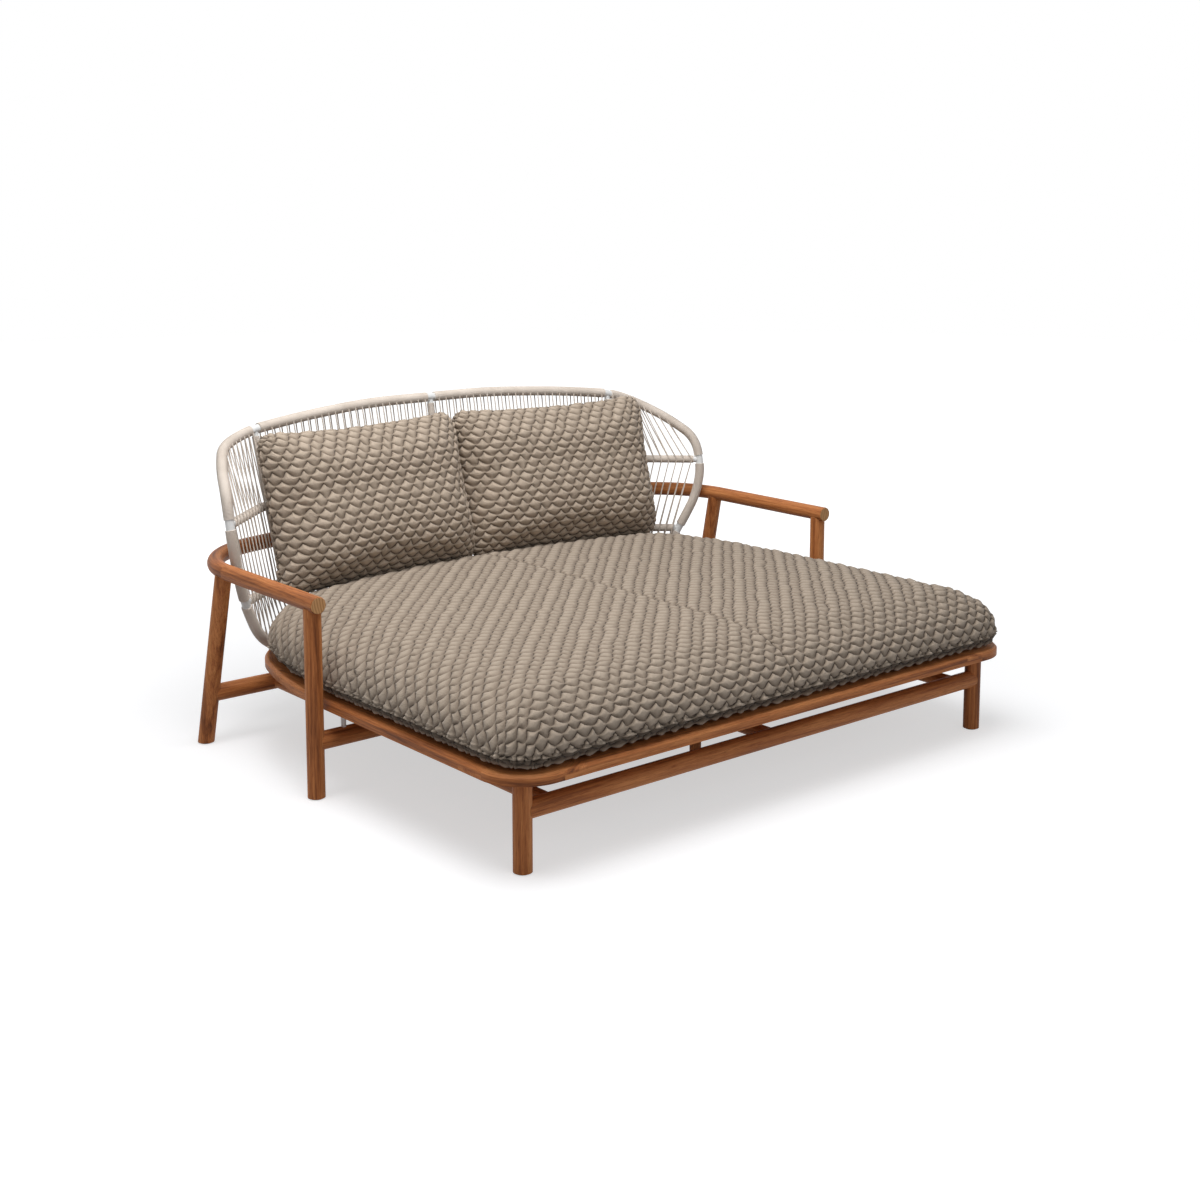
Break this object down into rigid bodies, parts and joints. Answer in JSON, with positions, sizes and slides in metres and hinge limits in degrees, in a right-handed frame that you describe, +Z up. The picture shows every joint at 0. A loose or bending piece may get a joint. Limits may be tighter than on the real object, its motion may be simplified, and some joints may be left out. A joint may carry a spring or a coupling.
{
  "type": "teak daybed",
  "caption": "Low round-cornered teak daybed with bent teak arms, a corded curved back, a thick mattress and loose back cushions for a patio or porch.",
  "frame": {"origin": "on the floor under the middle of the whole daybed's box", "axes": "the front faces -Y, +X is the right side seen from the front, +Z is up"},
  "size_m": [2.0134, 1.731, 0.9375],
  "materials": {
    "teak": "oiled teak with a fine lengthwise grain",
    "white_aluminium": "matt white powder coat",
    "stainless_steel": "plain stainless fasteners",
    "glide_plastic": "dull black hard plastic",
    "woven_cord": "round outdoor cord, beige, wound and strung",
    "taupe_fabric": "thick quilted taupe cloth"
  },
  "bodies": {
    "frame": {"front_leg_left": "teak", "front_leg_right": "teak", "arm_leg_left": "teak", "arm_leg_right": "teak", "rear_leg_left": "teak", "rear_leg_right": "teak", "centre_leg": "teak", "front_cross_rail": "teak", "middle_cross_rail": "teak", "rear_cross_rail": "teak", "side_rail_front_left": "teak", "side_rail_front_right": "teak", "side_rail_rear_left": "teak", "side_rail_rear_right": "teak", "centre_rail_front": "teak", "centre_rail_rear": "teak", "arm_left": "teak", "arm_right": "teak", "back_rail": "teak", "arm_dowels": "teak", "ring_front": "teak", "ring_corner_front_left": "teak", "ring_corner_front_right": "teak", "ring_side_left": "teak", "ring_side_right": "teak", "ring_corner_rear_left": "teak", "ring_corner_rear_right": "teak", "ring_rear": "teak", "deck_slats": "teak", "deck_bearer_left": "teak", "deck_bearer_centre": "teak", "deck_bearer_right": "teak", "back_hoop": "white_aluminium", "back_rib_left": "white_aluminium", "back_rib_centre": "white_aluminium", "back_rib_right": "white_aluminium", "back_middle_rail": "white_aluminium", "back_lower_rail": "white_aluminium", "back_feet": "white_aluminium", "deck_posts": "white_aluminium", "back_bolts": "stainless_steel", "back_foot_screws": "stainless_steel", "foot_glides": "glide_plastic", "hoop_wrap": "woven_cord", "rib_wraps": "woven_cord", "middle_rail_wrap": "woven_cord", "lower_rail_wrap": "woven_cord", "cords_front": "woven_cord", "cords_back": "woven_cord"},
    "mattress": {"mattress": "taupe_fabric"},
    "back_cushion_left": {"back_cushion_left": "taupe_fabric"},
    "back_cushion_right": {"back_cushion_right": "taupe_fabric"}
  },
  "joints": [
    {"name": "mattress_lift", "type": "slide", "parent": "frame", "child": "mattress", "axis": [0, 0, 1], "range_m": [0, 0.3]},
    {"name": "back_cushion_left_lift", "type": "slide", "parent": "mattress", "child": "back_cushion_left", "axis": [0, 0, 1], "range_m": [0, 0.5]},
    {"name": "back_cushion_right_lift", "type": "slide", "parent": "mattress", "child": "back_cushion_right", "axis": [0, 0, 1], "range_m": [0, 0.5]}
  ]
}
